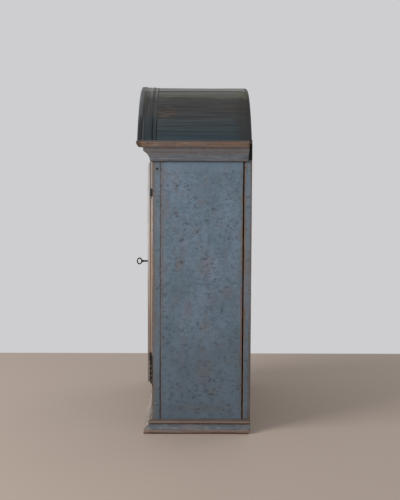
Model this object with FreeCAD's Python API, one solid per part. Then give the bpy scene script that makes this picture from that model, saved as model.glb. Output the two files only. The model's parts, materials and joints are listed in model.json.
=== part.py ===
import FreeCAD, Part
import math
import os

# Antique wall cabinet with an arched, boarded hood, one panelled door and a drawer under it.
# Millimetres. X runs to the right as seen from the front, the front faces -Y, Z is up.
# The origin is the middle of the underside.

# Case
case_width = 560.0
case_depth = 302.0
side_thickness = 22.0
back_thickness = 22.5
back_board_count = 4
back_groove = 2.0
shrink_gap = 4.0
bottom_thickness = 20.0
shelf_thickness = 18.0
top_thickness = 20.0
shelf_count = 2
shelf_setback = 13.0
housing_depth = 8.0

# Face frame
frame_thickness = 26.0
stile_width = 58.0
drawer_opening_height = 86.0
door_opening_height = 661.0
middle_reveal = 10.0
base_reveal = 7.0
head_reveal = 8.0
tenon_length = 22.0
tenon_thickness = 9.0
tenon_shoulder = 4.0

# Cornice and base mouldings
cornice_height = 64.0
cornice_projection = 44.5
cornice_fillet_out = 5.0
cornice_fillet_height = 2.0
cornice_cove_out = 19.5
cornice_cove_height = 30.0
cornice_cove_hollow = 4.4
cornice_band_height = 9.5
cornice_step_out = 13.0
cornice_step_height = 2.5
cornice_nose_swell = 0.8
cornice_round_height = 6.5
cornice_round_out = 3.5
cornice_round_swell = 0.8
base_height = 39.0
base_projection = 24.0
base_plinth_height = 6.0
base_cove_out = 12.0
base_cove_height = 18.0
base_cove_hollow = 3.0
base_quirk = 5.0
base_bead_height = 12.5
base_bead_swell = 4.0
base_worn_corner = 9.0

# Hood
hood_overhang = 38.0
hood_rise = 164.0
arch_projection = 42.0
arch_step = 3.5
arch_lap = 14.0
arch_groove = 1.2
arch_bead_depth = 16.5
arch_quirk_width = 1.5
arch_quirk_depth = 1.4
arch_band_drop = 1.3
arch_band_hollow = 0.8
arch_scribe_width = 2.6
arch_scribe_depth = 3.9
arch_fillet_width = 9.4
arch_fillet_drop = 3.0
roof_thickness = 16.0
crown_board_width = 205.0
flank_board_count = 2
roof_groove = 2.0
tympanum_thickness = 34.0
back_rebate = 14.0
back_round = 8.0
back_arch_inset = 3.0

# Door
lip_overlap = 10.0
lip_thickness = 14.5
lip_round = 6.0
rebate_depth = 12.0
rebate_gap = 2.0
door_stile_width = 74.0
door_top_rail_height = 84.0
door_bottom_rail_height = 96.0
door_tenon_length = 28.0
door_tenon_shoulder = 8.0
panel_tongue_thickness = 8.0
panel_tongue_depth = 8.0
panel_play = 1.5
panel_tongue_back = 2.0
panel_bevel = 32.0
panel_raise = 4.0

# Hinges
barrel_diameter = 9.0
pin_diameter = 5.0
pin_clearance = 0.05
barrel_gap = 0.5
thrust_gap = 0.3
knuckle_height = 22.0
hinge_leaf_thickness = 2.0
door_leaf_length = 28.0
frame_leaf_depth = 22.0
frame_leaf_height = 30.0
frame_leaf_neck = 9.0
upper_hinge_inset = 78.0
lower_hinge_inset = 70.0
seat_diameter = 7.0
seat_height = 3.0
bead_count = 4
bead_height = 15.0
bead_diameter = 6.4
neck_diameter = 2.8
drop_tip = 6.0
pin_stand = 2.0

# Lock and key
lock_wall = 2.0
lock_cavity = 10.0
lock_edge_gap = 1.5
lock_margin = 13.0
bolt_length = 46.0
bolt_height = 16.0
bolt_thickness = 6.0
bolt_travel = 11.0
bolt_play = 0.3
bolt_sink = 0.5
bolt_tail_room = 5.0
strike_play = 1.0
strike_end_room = 3.0
key_height = 313.0
key_side_room = 7.5
key_diameter = 6.0
key_play = 0.3
key_stand = 58.5
bit_reach = 14.0
bit_thickness = 3.0
bit_play = 3.0
bit_end_play = 1.0
bow_length = 19.0
bow_height = 24.5
bow_wire = 4.0
collar_diameter = 9.0
collar_length = 4.0
keyhole_room = 1.5
escutcheon_width = 30.0
escutcheon_height = 52.0
escutcheon_thickness = 1.5
escutcheon_drop = 6.0

# Drawer
drawer_side_gap = 1.5
drawer_top_gap = 1.5
drawer_slip = 0.3
drawer_depth = 240.0
drawer_front_thickness = 20.0
drawer_board_thickness = 12.0
drawer_bottom_thickness = 6.0
drawer_groove_depth = 5.0
drawer_groove_height = 9.0
drawer_side_drop = 7.0
runner_lap = 18.0
runner_guide_height = 20.0
ring_radius = 20.0
ring_wire = 4.0
ring_reach = 14.0
ring_pivot_height = 66.0
eye_diameter = 12.0
eye_thickness = 5.0
eye_play = 0.6
eye_stem_diameter = 7.0
eye_rose_diameter = 26.0
eye_rose_thickness = 2.0

# Wall irons and nails
iron_edge = 10.5
iron_height = 48.0
iron_thickness = 3.0
iron_length = 58.0
iron_drop = 35.0
iron_hole_inset = 30.0
iron_hole_diameter = 9.0
iron_pocket_diameter = 16.0
iron_pocket_depth = 12.0
nail_head_diameter = 8.0
nail_tip_diameter = 3.0
nail_head_height = 1.6
nail_length = 30.0
nail_from_front = 16.0
nail_end_inset = 86.5
nail_count = 3

# Planes that the pieces share
half = case_width / 2
inner = half - side_thickness
opening_half = half - stile_width
front_y = -case_depth / 2
rear_y = case_depth / 2
frame_back_y = front_y + frame_thickness
back_front_y = rear_y - back_thickness
side_rear_y = back_front_y - shrink_gap
shelf_front_y = frame_back_y + shelf_setback

# Levels, from the floor up
drawer_z0 = base_height + base_reveal
drawer_z1 = drawer_z0 + drawer_opening_height
door_z0 = drawer_z1 + lip_overlap + middle_reveal
door_z1 = door_z0 + door_opening_height
cornice_z0 = door_z1 + lip_overlap + head_reveal
case_height = cornice_z0 + cornice_height
top_z0 = case_height - top_thickness
lip_z0 = door_z0 - lip_overlap
lip_z1 = door_z1 + lip_overlap

# The hood's circle, through the two springings and the crown
hood_half = half + hood_overhang
arch_radius = (hood_half ** 2 + hood_rise ** 2) / (2 * hood_rise)
hood_centre_z = case_height + hood_rise - arch_radius
roof_radius = arch_radius - arch_step
roof_inner_radius = roof_radius - roof_thickness
roof_front_y = front_y + arch_lap + arch_groove

# Door planes and hinge axis
lip_half = opening_half + lip_overlap
rebate_half = opening_half - rebate_gap
rebate_z0 = door_z0 + rebate_gap
rebate_z1 = door_z1 - rebate_gap
face_y = front_y - lip_thickness
door_back_y = front_y + rebate_depth
door_inner = lip_half - door_stile_width
door_inner_z0 = lip_z0 + door_bottom_rail_height
door_inner_z1 = lip_z1 - door_top_rail_height
tongue_back_y = front_y + panel_tongue_back
tongue_front_y = tongue_back_y - panel_tongue_thickness
hinge_x = lip_half + barrel_gap + barrel_diameter / 2
hinge_y = front_y - barrel_gap - barrel_diameter / 2
upper_knuckle_z = lip_z1 - upper_hinge_inset - knuckle_height
lower_knuckle_z = lip_z0 + lower_hinge_inset

# Lock planes and key axis
lock_x0 = -rebate_half + lock_edge_gap
lock_x1 = lock_x0 + bolt_length + bolt_tail_room + 2 * lock_wall
key_x = lock_x0 + lock_wall + bit_reach + key_side_room
key_z = lip_z0 + key_height
bolt_z0 = key_z + bit_reach + bit_play
bolt_z1 = bolt_z0 + bolt_height
bolt_x0 = lock_x0 + bolt_sink
bolt_y0 = door_back_y + lock_wall + bolt_play
bolt_y1 = bolt_y0 + bolt_thickness
lock_z0 = key_z - bit_reach - lock_margin
lock_z1 = bolt_z1 + lock_margin
cover_y = door_back_y + lock_wall + lock_cavity
bit_y0 = door_back_y + lock_wall + bit_end_play
bit_y1 = cover_y - bit_end_play

# Drawer planes and ring axis
drawer_half = opening_half - drawer_side_gap
drawer_inner = drawer_half - drawer_board_thickness
drawer_low = drawer_z0 + drawer_slip
drawer_high = drawer_z1 - drawer_top_gap
drawer_side_high = drawer_high - drawer_side_drop
drawer_front_back_y = front_y + drawer_front_thickness
drawer_rear_y = front_y + drawer_depth
drawer_bottom_z = drawer_low + drawer_groove_height
ring_y = front_y - ring_reach
ring_pivot_z = drawer_z0 + ring_pivot_height

# Wall iron levels
iron_z = case_height - iron_drop
cornice_rear_y = rear_y - iron_edge


def point(x, y, z):
    return FreeCAD.Vector(x, y, z)


X_AXIS = point(1, 0, 0)
Y_AXIS = point(0, 1, 0)
Z_AXIS = point(0, 0, 1)


def block(x0, x1, y0, y1, z0, z1):
    return Part.makeBox(x1 - x0, y1 - y0, z1 - z0, point(x0, y0, z0))


def mirrored(shape):
    return shape.mirror(point(0, 0, 0), X_AXIS)


def bowed_edge(start, end, place):
    """Line from start to end, or an arc that stands off to the left of it by the third value."""
    first = place(start[0], start[1])
    last = place(end[0], end[1])
    if len(end) < 3:
        return Part.LineSegment(first, last).toShape()
    run = end[0] - start[0]
    climb = end[1] - start[1]
    length = math.hypot(run, climb)
    middle = place(
        (start[0] + end[0]) / 2 - climb / length * end[2],
        (start[1] + end[1]) / 2 + run / length * end[2],
    )
    return Part.Arc(first, middle, last).toShape()


def outline(points, place):
    edges = []
    for index, end in enumerate(points):
        edges.append(bowed_edge(points[index - 1], end, place))
    return Part.Face(Part.Wire(edges))


def plan_prism(corners, z0, z1):
    face = outline(corners, lambda x, y: point(x, y, z0))
    return face.extrude(point(0, 0, z1 - z0))


# Mouldings

def cornice_section(projection):
    """Points as (projection, height): fillet, cove, band and rounded nose."""
    cove_z = cornice_fillet_height + cornice_cove_height
    cove_out = cornice_fillet_out + cornice_cove_out
    band_z = cove_z + cornice_band_height
    return [
        (0, 0),
        (cornice_fillet_out, 0),
        (cornice_fillet_out, cornice_fillet_height),
        (cove_out, cove_z, cornice_cove_hollow),
        (cove_out, band_z),
        (cove_out + cornice_step_out, band_z + cornice_step_height),
        (projection, cornice_height - cornice_round_height, -cornice_nose_swell),
        (projection - cornice_round_out, cornice_height, -cornice_round_swell),
        (0, cornice_height),
    ]


def base_section():
    """Points as (projection, height): plinth fillet, cove, quirk and bead."""
    cove_in = base_projection - base_cove_out
    cove_z = base_plinth_height + base_cove_height
    bead_in = cove_in - base_quirk
    return [
        (0, 0),
        (base_projection, 0),
        (base_projection, base_plinth_height),
        (cove_in, cove_z, -base_cove_hollow),
        (bead_in, base_height - base_bead_height),
        (bead_in, base_height, -base_bead_swell),
        (0, base_height),
    ]


def mitred_front(section, z0, height, projection):
    reach = half + projection
    face = outline(section, lambda out, up: point(-reach, front_y - out, z0 + up))
    corners = [
        (-half, front_y),
        (half, front_y),
        (half + projection, front_y - projection),
        (-half - projection, front_y - projection),
    ]
    return face.extrude(point(2 * reach, 0, 0)).common(plan_prism(corners, z0, z0 + height))


def mitred_side(section, z0, height, projection, end_y):
    start_y = front_y - projection
    face = outline(section, lambda out, up: point(half + out, start_y, z0 + up))
    corners = [
        (half, front_y),
        (half + projection, start_y),
        (half + projection, end_y),
        (half, end_y),
    ]
    return face.extrude(point(0, end_y - start_y, 0)).common(plan_prism(corners, z0, z0 + height))


def make_mouldings(parts):
    cornice = cornice_section(cornice_projection)
    cornice_size = (cornice_z0, cornice_height, cornice_projection)
    parts["cornice_front"] = mitred_front(cornice, *cornice_size)
    parts["cornice_right"] = mitred_side(cornice, *cornice_size, cornice_rear_y)
    parts["cornice_left"] = mirrored(parts["cornice_right"])
    base = base_section()
    base_size = (0, base_height, base_projection)
    parts["base_front"] = mitred_front(base, *base_size)
    right = mitred_side(base, *base_size, rear_y)
    parts["base_left"] = mirrored(right)
    worn = outline(
        [(rear_y, 0), (rear_y, base_worn_corner), (rear_y - base_worn_corner, 0)],
        lambda y, z: point(half, y, z),
    )
    parts["base_right"] = right.cut(worn.extrude(point(base_projection, 0, 0)))


# Case

def housed_levels():
    """Lower and upper face of each board that is let into the sides."""
    levels = {"bottom_board": (0, bottom_thickness), "floor_board": (door_z0 - shelf_thickness, door_z0)}
    pitch = door_opening_height / (shelf_count + 1)
    for index in range(shelf_count):
        name = ("shelf_lower", "shelf_upper")[index]
        top = door_z0 + pitch * (index + 1)
        levels[name] = (top - shelf_thickness, top)
    return levels


def housed_board(name, level):
    front = shelf_front_y if name.startswith("shelf") else frame_back_y
    width = inner + housing_depth
    return block(-width, width, front, back_front_y, level[0], level[1])


def make_boards(parts):
    side = block(inner, half, frame_back_y, side_rear_y, 0, top_z0)
    for name, level in housed_levels().items():
        board = housed_board(name, level)
        parts[name] = board
        side = side.cut(board)
    parts["side_right"] = side
    parts["side_left"] = mirrored(side)
    parts["top_board"] = block(-half, half, frame_back_y, back_front_y, top_z0, case_height)


def iron_hole(diameter, depth):
    start = point(half - iron_hole_inset, rear_y - depth, iron_z)
    return Part.makeCylinder(diameter / 2, depth, start, Y_AXIS)


def wall_iron():
    low = iron_z - iron_height / 2
    high = iron_z + iron_height / 2
    outside = half + iron_thickness
    edge_leg = block(half, outside, cornice_rear_y, rear_y, low, high)
    rear_leg = block(half - iron_length, outside, rear_y - iron_thickness, rear_y, low, high)
    iron = edge_leg.fuse(rear_leg).removeSplitter()
    return iron.cut(iron_hole(iron_hole_diameter, iron_thickness))


def make_back(parts):
    iron = wall_iron()
    parts["hanging_iron_right"] = iron
    parts["hanging_iron_left"] = mirrored(iron)
    low = iron_z - iron_height / 2
    high = iron_z + iron_height / 2
    recess = block(half - iron_length, half, rear_y - iron_thickness, rear_y, low, high)
    recess = recess.fuse(iron_hole(iron_pocket_diameter, iron_thickness + iron_pocket_depth))
    width = case_width / back_board_count
    for index in range(back_board_count):
        start = -half + index * width
        board = block(start, start + width, back_front_y, rear_y, 0, case_height)
        board = board.cut(recess).cut(mirrored(recess))
        for joint in range(1, back_board_count):
            board = board.cut(rear_groove(-half + joint * width))
        parts["back_board_%d" % (index + 1)] = board


def rear_groove(x):
    """V groove down the back, on the joint between two boards."""
    corners = [(x - back_groove, rear_y), (x, rear_y - back_groove), (x + back_groove, rear_y)]
    return plan_prism(corners, 0, case_height)


# Face frame

def rail_levels():
    return {
        "rail_bottom": (0, drawer_z0),
        "rail_middle": (drawer_z1, door_z0),
        "rail_top": (door_z1, case_height),
    }


def rail_tenon(level):
    middle = front_y + frame_thickness / 2
    return block(
        opening_half,
        opening_half + tenon_length,
        middle - tenon_thickness / 2,
        middle + tenon_thickness / 2,
        level[0] + tenon_shoulder,
        level[1] - tenon_shoulder,
    )


def nail_levels():
    span = case_height - 2 * nail_end_inset
    return [nail_end_inset + span * index / (nail_count - 1) for index in range(nail_count)]


def stile_nail(z):
    seat = point(half, front_y + nail_from_front, z)
    shank = Part.makeCylinder(nail_tip_diameter / 2, nail_length, seat, -X_AXIS)
    head = Part.makeCone(nail_head_diameter / 2, nail_tip_diameter / 2, nail_head_height, seat, X_AXIS)
    return shank.fuse(head)


def make_frame(parts):
    stile = block(opening_half, half, front_y, frame_back_y, 0, case_height)
    for name, level in rail_levels().items():
        tenon = rail_tenon(level)
        rail = block(-opening_half, opening_half, front_y, frame_back_y, level[0], level[1])
        parts[name] = rail.fuse([tenon, mirrored(tenon)]).removeSplitter()
        stile = stile.cut(tenon)
    nails = []
    for z in nail_levels():
        nail = stile_nail(z)
        nails.extend([nail, mirrored(nail)])
        stile = stile.cut(nail)
    parts["stile_nails"] = Part.makeCompound(nails)
    right = stile
    for knuckle_z in (upper_knuckle_z, lower_knuckle_z):
        right = right.cut(frame_leaf(knuckle_z))
    parts["stile_right"] = right
    parts["stile_left"] = mirrored(stile).cut(strike_mortise())


def strike_mortise():
    depth = bolt_travel + strike_end_room
    return block(
        -opening_half - depth,
        -opening_half,
        bolt_y0 - strike_play,
        bolt_y1 + strike_play,
        bolt_z0 - strike_play,
        bolt_z1 + strike_play,
    )


# Hood

def above_cornice():
    reach = arch_radius
    return block(-reach, reach, front_y - case_depth, rear_y, case_height, case_height + reach)


def hood_drum(radius, y0, y1):
    return Part.makeCylinder(radius, y1 - y0, point(0, y0, hood_centre_z), Y_AXIS)


def hood_revolve(points):
    """Turn a section given as (y, radius) about the hood's centre line."""
    face = outline(points, lambda y, radius: point(0, y, hood_centre_z + radius))
    turned = face.revolve(point(0, 0, hood_centre_z), Y_AXIS, 360)
    return turned.common(above_cornice())


def joint_groove(angle):
    """Square bar on its corner along a roof joint."""
    edge = roof_groove / math.sqrt(2)
    bar = block(-edge, edge, roof_front_y, back_front_y, -edge, edge)
    bar.rotate(point(0, 0, 0), Y_AXIS, math.degrees(angle) + 45)
    across = roof_radius * math.sin(angle)
    bar.translate(point(across, 0, hood_centre_z + roof_radius * math.cos(angle)))
    return bar


def roof_wedge(first, last):
    reach = 2 * arch_radius
    corners = [
        (0, 0),
        (reach * math.sin(first), reach * math.cos(first)),
        (reach * math.sin(last), reach * math.cos(last)),
    ]
    face = outline(corners, lambda x, z: point(x, roof_front_y, hood_centre_z + z))
    return face.extrude(point(0, back_front_y - roof_front_y, 0))


def make_roof_boards(parts):
    shell = hood_drum(roof_radius, roof_front_y, back_front_y)
    shell = shell.cut(hood_drum(roof_inner_radius, roof_front_y, back_front_y)).common(above_cornice())
    spring = math.acos((case_height - hood_centre_z) / roof_radius)
    foot = math.acos((case_height - hood_centre_z) / arch_radius)
    crown = crown_board_width / (2 * roof_radius)
    step = (spring - crown) / flank_board_count
    right_joints = [crown + step * index for index in range(flank_board_count)]
    joints = [-angle for angle in reversed(right_joints)] + right_joints
    for angle in joints:
        shell = shell.cut(joint_groove(angle))
    edges = [-foot] + joints + [foot]
    for index in range(len(edges) - 1):
        board = shell.common(roof_wedge(edges[index], edges[index + 1]))
        parts["roof_board_%d" % (index + 1)] = board


def arch_section():
    """The cornice's section as (y, radius), with a moulded lap that runs back over the tympanum."""
    inside = arch_radius - cornice_height
    section = []
    for out, up, *bow in cornice_section(arch_projection)[:-1]:
        section.append((front_y - out, inside + up, *[-value for value in bow]))
    lap_y = front_y + arch_lap
    bead_y = front_y - arch_projection + arch_bead_depth
    fillet_y = lap_y - arch_fillet_width
    fillet_radius = arch_radius - arch_fillet_drop
    return section + [
        (bead_y, arch_radius),
        (bead_y + arch_quirk_width, arch_radius - arch_quirk_depth),
        (fillet_y - arch_scribe_width, arch_radius - arch_band_drop, -arch_band_hollow),
        (fillet_y - arch_scribe_width / 2, arch_radius - arch_scribe_depth),
        (fillet_y, fillet_radius),
        (lap_y, fillet_radius),
        (lap_y, roof_inner_radius),
        (front_y, roof_inner_radius),
    ]


def back_arch_section():
    """Thick board as (y, radius), rebated for the roof boards and rounded at the back."""
    ledge_y = back_front_y - back_rebate
    outer_y = rear_y - back_arch_inset
    swell = back_round * (1 - math.sqrt(0.5))
    return [
        (ledge_y, 0),
        (ledge_y, roof_inner_radius),
        (back_front_y, roof_inner_radius),
        (back_front_y, roof_radius),
        (outer_y - back_round, roof_radius),
        (outer_y, roof_radius - back_round, swell),
        (outer_y, 0),
    ]


def make_hood(parts):
    tympanum = hood_drum(roof_inner_radius, front_y, front_y + tympanum_thickness)
    parts["tympanum"] = tympanum.common(above_cornice())
    parts["arch_moulding"] = hood_revolve(arch_section())
    parts["back_arch"] = hood_revolve(back_arch_section())
    make_roof_boards(parts)


# Hinges

def frame_leaf(knuckle_z):
    """Plate of a pintle, let into the stile."""
    top = knuckle_z - thrust_gap
    edge = hinge_leaf_thickness / 2
    leaf_back_y = front_y + frame_leaf_depth
    return block(hinge_x - edge, hinge_x + edge, front_y, leaf_back_y, top - frame_leaf_height, top)


def pintle(knuckle_z, beads):
    """Pin, seat and turned drop, with the plate that holds them in the stile."""
    seat_top = knuckle_z - thrust_gap
    seat_low = seat_top - seat_height
    drop_low = seat_low - beads * bead_height
    pin_top = knuckle_z + knuckle_height + pin_stand
    neck = neck_diameter / 2
    swell = (bead_diameter - neck_diameter) / 2
    section = [(0, drop_low - drop_tip), (neck, drop_low, -swell)]
    for index in range(beads):
        section.append((neck, drop_low + (index + 1) * bead_height, -swell))
    section += [
        (seat_diameter / 2, seat_low),
        (seat_diameter / 2, seat_top),
        (pin_diameter / 2, seat_top),
        (pin_diameter / 2, pin_top),
        (0, pin_top),
    ]
    face = outline(section, lambda radius, z: point(hinge_x + radius, hinge_y, z))
    turned = face.revolve(point(hinge_x, hinge_y, 0), Z_AXIS, 360)
    edge = hinge_leaf_thickness / 2
    web = block(hinge_x - edge, hinge_x + edge, hinge_y, front_y, seat_top - frame_leaf_neck, seat_top)
    return turned.fuse([web, frame_leaf(knuckle_z)]).removeSplitter()


def door_leaf(knuckle_z):
    edge = hinge_leaf_thickness / 2
    return block(
        lip_half - door_leaf_length,
        hinge_x,
        hinge_y - edge,
        hinge_y + edge,
        knuckle_z,
        knuckle_z + knuckle_height,
    )


def knuckle(knuckle_z):
    foot = point(hinge_x, hinge_y, knuckle_z)
    barrel = Part.makeCylinder(barrel_diameter / 2, knuckle_height, foot, Z_AXIS)
    bore = Part.makeCylinder(pin_diameter / 2 + pin_clearance, knuckle_height, foot, Z_AXIS)
    return barrel.fuse(door_leaf(knuckle_z)).cut(bore).removeSplitter()


def make_hinges(parts):
    parts["pintle_upper"] = pintle(upper_knuckle_z, 0)
    parts["pintle_lower"] = pintle(lower_knuckle_z, bead_count)
    parts["knuckle_upper"] = knuckle(upper_knuckle_z)
    parts["knuckle_lower"] = knuckle(lower_knuckle_z)


# Door

def door_member(x0, x1, z0, z1):
    """Lip in front of the frame and a smaller rebated part inside the opening."""
    lip = block(x0, x1, face_y, front_y, z0, z1)
    rebated = block(
        max(x0, -rebate_half),
        min(x1, rebate_half),
        front_y,
        door_back_y,
        max(z0, rebate_z0),
        min(z1, rebate_z1),
    )
    return round_lip(lip.fuse(rebated).removeSplitter())


def round_lip(member):
    """Round the arris between the door's face and its outer edges."""
    near = 1e-6
    worn = []
    for edge in member.Edges:
        box = edge.BoundBox
        on_face = abs(box.YMin - face_y) < near and abs(box.YMax - face_y) < near
        at_side = box.XLength < near and abs(abs(box.XMin) - lip_half) < near
        at_end = box.ZLength < near and min(abs(box.ZMin - lip_z0), abs(box.ZMin - lip_z1)) < near
        if on_face and (at_side or at_end):
            worn.append(edge)
    return member.makeFillet(lip_round, worn)


def door_tenon(z0, z1):
    return block(
        door_inner,
        door_inner + door_tenon_length,
        tongue_front_y,
        tongue_back_y,
        max(z0, rebate_z0) + door_tenon_shoulder,
        min(z1, rebate_z1) - door_tenon_shoulder,
    )


def tongue_plate(depth):
    reach = door_inner + depth
    return block(
        -reach, reach, tongue_front_y, tongue_back_y, door_inner_z0 - depth, door_inner_z1 + depth
    )


def panel_rectangle(inset, y):
    reach = door_inner - inset
    low = door_inner_z0 + inset
    high = door_inner_z1 - inset
    corners = [(-reach, low), (reach, low), (reach, high), (-reach, high)]
    return outline(corners, lambda x, z: point(x, y, z)).OuterWire


def keyhole(y0, y1, room):
    """Round hole with a slot below it, for the key's shank and bit."""
    shank = Part.makeCylinder(key_diameter / 2 + room, y1 - y0, point(key_x, y0, key_z), Y_AXIS)
    slot_half = bit_thickness / 2 + room
    slot = block(key_x - slot_half, key_x + slot_half, y0, y1, key_z - bit_reach - room, key_z)
    return shank.fuse(slot)


def make_door(parts):
    groove = tongue_plate(panel_tongue_depth + panel_play)
    stile = door_member(door_inner, lip_half, lip_z0, lip_z1).cut(groove)
    rails = {
        "door_rail_bottom": (lip_z0, door_inner_z0),
        "door_rail_top": (door_inner_z1, lip_z1),
    }
    for name, level in rails.items():
        tenon = door_tenon(*level).cut(groove)
        rail = door_member(-door_inner, door_inner, *level).cut(groove)
        parts[name] = rail.fuse([tenon, mirrored(tenon)]).removeSplitter()
        stile = stile.cut(tenon)
    hinge_stile = stile
    for knuckle_z in (upper_knuckle_z, lower_knuckle_z):
        hinge_stile = hinge_stile.cut(door_leaf(knuckle_z))
    parts["door_stile_hinge"] = hinge_stile
    parts["door_stile_lock"] = mirrored(stile).cut(keyhole(face_y, door_back_y, keyhole_room))
    field = Part.makeLoft(
        [panel_rectangle(0, tongue_front_y), panel_rectangle(panel_bevel, tongue_front_y - panel_raise)],
        True,
        True,
    )
    parts["door_panel"] = tongue_plate(panel_tongue_depth).fuse(field).removeSplitter()


# Lock and key

def oval(centre, one_axis, other_axis):
    """Flat ellipse about a centre, from its two half axes."""
    axes = sorted([one_axis, other_axis], key=lambda axis: -axis.Length)
    ellipse = Part.Ellipse(centre + axes[0], centre + axes[1], centre)
    return Part.Face(Part.Wire(ellipse.toShape()))


def make_lock(parts):
    plate_y = face_y - escutcheon_thickness
    plate_centre = point(key_x, plate_y, key_z - escutcheon_drop)
    plate = oval(plate_centre, X_AXIS * escutcheon_width / 2, Z_AXIS * escutcheon_height / 2)
    plate = plate.extrude(Y_AXIS * escutcheon_thickness)
    parts["escutcheon"] = plate.cut(keyhole(plate_y, face_y, keyhole_room))

    case = block(lock_x0, lock_x1, door_back_y, cover_y, lock_z0, lock_z1)
    cavity = block(
        lock_x0 + lock_wall,
        lock_x1 - lock_wall,
        door_back_y + lock_wall,
        cover_y,
        lock_z0 + lock_wall,
        lock_z1 - lock_wall,
    )
    slot = block(
        lock_x0,
        lock_x0 + lock_wall,
        bolt_y0 - bolt_play,
        bolt_y1 + bolt_play,
        bolt_z0 - bolt_play,
        bolt_z1 + bolt_play,
    )
    front_hole = keyhole(door_back_y, door_back_y + lock_wall, key_play)
    parts["lock_case"] = case.cut(cavity).cut(slot).cut(front_hole)
    parts["lock_cover"] = block(lock_x0, lock_x1, cover_y, cover_y + lock_wall, lock_z0, lock_z1)
    parts["lock_bolt"] = block(bolt_x0, bolt_x0 + bolt_length, bolt_y0, bolt_y1, bolt_z0, bolt_z1)


def make_key(parts):
    tip_y = face_y - key_stand
    shank_y = tip_y + bow_length - bow_wire / 2
    bow_centre = point(key_x - bow_wire / 2, tip_y + bow_length / 2, key_z)
    bow = oval(bow_centre, Y_AXIS * bow_length / 2, Z_AXIS * bow_height / 2)
    loop_length = bow_length - 2 * bow_wire
    loop_height = bow_height - 2 * bow_wire
    loop = oval(bow_centre, Y_AXIS * loop_length / 2, Z_AXIS * loop_height / 2)
    ring = bow.extrude(X_AXIS * bow_wire).cut(loop.extrude(X_AXIS * bow_wire))
    shank = Part.makeCylinder(key_diameter / 2, bit_y1 - shank_y, point(key_x, shank_y, key_z), Y_AXIS)
    collar_start = point(key_x, tip_y + bow_length, key_z)
    collar = Part.makeCylinder(collar_diameter / 2, collar_length, collar_start, Y_AXIS)
    bit_half = bit_thickness / 2
    bit = block(key_x - bit_half, key_x + bit_half, bit_y0, bit_y1, key_z - bit_reach, key_z)
    parts["key"] = ring.fuse([shank, collar, bit]).removeSplitter()


# Drawer

def make_drawer(parts):
    bottom_top = drawer_bottom_z + drawer_bottom_thickness
    bottom_half = drawer_inner + drawer_groove_depth
    bottom = block(
        -bottom_half,
        bottom_half,
        drawer_front_back_y - drawer_groove_depth,
        drawer_rear_y,
        drawer_bottom_z,
        bottom_top,
    )
    front = block(-drawer_half, drawer_half, front_y, drawer_front_back_y, drawer_low, drawer_high)
    side = block(
        drawer_inner, drawer_half, drawer_front_back_y, drawer_rear_y, drawer_low, drawer_side_high
    )
    parts["drawer_bottom"] = bottom
    parts["drawer_front"] = front.cut(bottom)
    parts["drawer_side_right"] = side.cut(bottom)
    parts["drawer_side_left"] = mirrored(parts["drawer_side_right"])
    back_y = drawer_rear_y - drawer_board_thickness
    parts["drawer_back"] = block(
        -drawer_inner, drawer_inner, back_y, drawer_rear_y, bottom_top, drawer_side_high
    )
    make_ring_pull(parts)
    ledge = block(drawer_inner - runner_lap, inner, frame_back_y, back_front_y, bottom_thickness, drawer_z0)
    guide_top = drawer_z0 + runner_guide_height
    guide = block(opening_half, inner, frame_back_y, back_front_y, drawer_z0, guide_top)
    parts["runner_right"] = ledge.fuse(guide).removeSplitter()
    parts["runner_left"] = mirrored(parts["runner_right"])


def make_ring_pull(parts):
    rose_centre = point(0, front_y - eye_rose_thickness, ring_pivot_z)
    rose = Part.makeCylinder(eye_rose_diameter / 2, eye_rose_thickness, rose_centre, Y_AXIS)
    stem_start = point(0, ring_y, ring_pivot_z)
    stem = Part.makeCylinder(eye_stem_diameter / 2, ring_reach, stem_start, Y_AXIS)
    eye_start = point(-eye_thickness / 2, ring_y, ring_pivot_z)
    eye = Part.makeCylinder(eye_diameter / 2, eye_thickness, eye_start, X_AXIS)
    hole_start = point(-eye_stem_diameter, ring_y, ring_pivot_z)
    hole = Part.makeCylinder(ring_wire / 2 + eye_play, 2 * eye_stem_diameter, hole_start, X_AXIS)
    parts["ring_eye"] = rose.fuse([stem, eye]).cut(hole).removeSplitter()
    ring_centre = point(0, ring_y, ring_pivot_z - ring_radius)
    parts["drawer_ring"] = Part.makeTorus(ring_radius, ring_wire / 2, ring_centre, Y_AXIS)


def build():
    parts = {}
    make_boards(parts)
    make_back(parts)
    make_frame(parts)
    make_mouldings(parts)
    make_hood(parts)
    make_hinges(parts)
    make_door(parts)
    make_lock(parts)
    make_key(parts)
    make_drawer(parts)
    return parts


os.makedirs("parts", exist_ok=True)
for node, shape in build().items():
    shape.exportStep("parts/%s.step" % node)
    print(node, len(shape.Solids), shape.isValid(), round(shape.Volume))
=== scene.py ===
import json
import math

import bmesh
import bpy
from mathutils import Matrix, Vector, noise

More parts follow.
